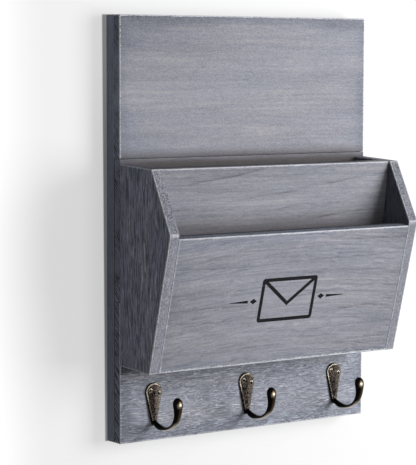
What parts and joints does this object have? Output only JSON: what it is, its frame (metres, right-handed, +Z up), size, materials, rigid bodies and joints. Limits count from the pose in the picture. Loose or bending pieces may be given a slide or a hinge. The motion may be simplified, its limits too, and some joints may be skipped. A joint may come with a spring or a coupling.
{
  "type": "wall mail organizer",
  "caption": "Wall-hung letter organizer of stained boards: a tall backing, a divided slanting pocket for mail and a row of cast key hooks below it.",
  "frame": {"origin": "on the wall plane, midway between the two wall screws, at the round mouths of the keyholes", "axes": "+Z up, +Y into the wall, +X to the right of someone who looks at the front"},
  "size_m": [0.305, 0.111, 0.4191],
  "materials": {
    "stained_wood": "blue-grey wash stain on brushed softwood, dull, rubbed pale along the arrises",
    "antique_brass": "dark antique patina, polished bright where it is rubbed",
    "zinc_steel": "bright zinc plate",
    "stained_brads": "set flush and stained over with the wood",
    "mark_paint": "flat black paint, stencilled on the front panel"
  },
  "bodies": {
    "root": {"lower_back_board": "stained_wood", "middle_back_board": "stained_wood", "upper_back_board": "stained_wood", "left_rail": "stained_wood", "right_rail": "stained_wood", "left_side_panel": "stained_wood", "right_side_panel": "stained_wood", "pocket_floor": "stained_wood", "pocket_divider": "stained_wood", "front_panel": "stained_wood", "left_hook": "antique_brass", "middle_hook": "antique_brass", "right_hook": "antique_brass", "hook_screws": "antique_brass", "rail_screws": "zinc_steel", "side_panel_screws": "zinc_steel", "pocket_brads": "stained_brads"}
  },
  "joints": []
}
